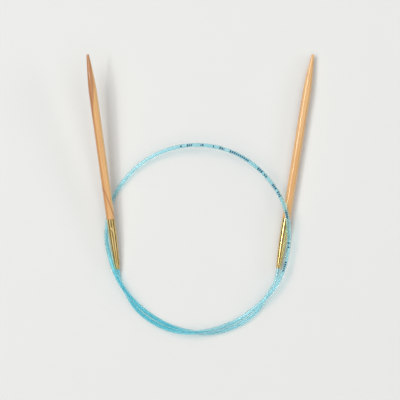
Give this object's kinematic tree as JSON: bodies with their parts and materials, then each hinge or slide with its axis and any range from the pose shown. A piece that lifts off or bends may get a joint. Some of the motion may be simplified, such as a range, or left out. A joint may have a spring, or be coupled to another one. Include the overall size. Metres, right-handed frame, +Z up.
{
  "type": "circular knitting needle",
  "caption": "Circular knitting needle: tapered wooden needles in gilt brass ferrules, joined by a looped flexible tube cord that bends at each ferrule.",
  "frame": {"origin": "on the surface it lies on, midway between the two needles' outermost points in X and in Y", "axes": "+Z up, +X from the left needle to the right one, +Y towards the points of the needles"},
  "size_m": [0.1088, 0.1347, 0.0123],
  "materials": {
    "olive_wood": "oiled, satin",
    "gilt_brass": "polished, gold plated",
    "pin_steel": "turned, bare",
    "cyan_nylon": "smooth, translucent"
  },
  "bodies": {
    "cord": {"cord_run": "cyan_nylon"},
    "left_needle": {"left_shaft": "olive_wood", "left_ferrule": "gilt_brass", "left_barb_pin": "pin_steel", "left_cord_end": "cyan_nylon"},
    "right_needle": {"right_shaft": "olive_wood", "right_ferrule": "gilt_brass", "right_barb_pin": "pin_steel", "right_cord_end": "cyan_nylon"}
  },
  "joints": [
    {"name": "left_cord_bend", "type": "hinge", "parent": "cord", "child": "left_needle", "pos_m": [-0.03568, -0.05879, 0.0011], "axis": [0, 0, -1], "range_deg": [0, 35], "stiffness_Nm_per_rad": 0.02},
    {"name": "right_cord_bend", "type": "hinge", "parent": "cord", "child": "right_needle", "pos_m": [0.0331, -0.0585, 0.0015], "axis": [0, 0, 1], "range_deg": [0, 20], "stiffness_Nm_per_rad": 0.02}
  ]
}
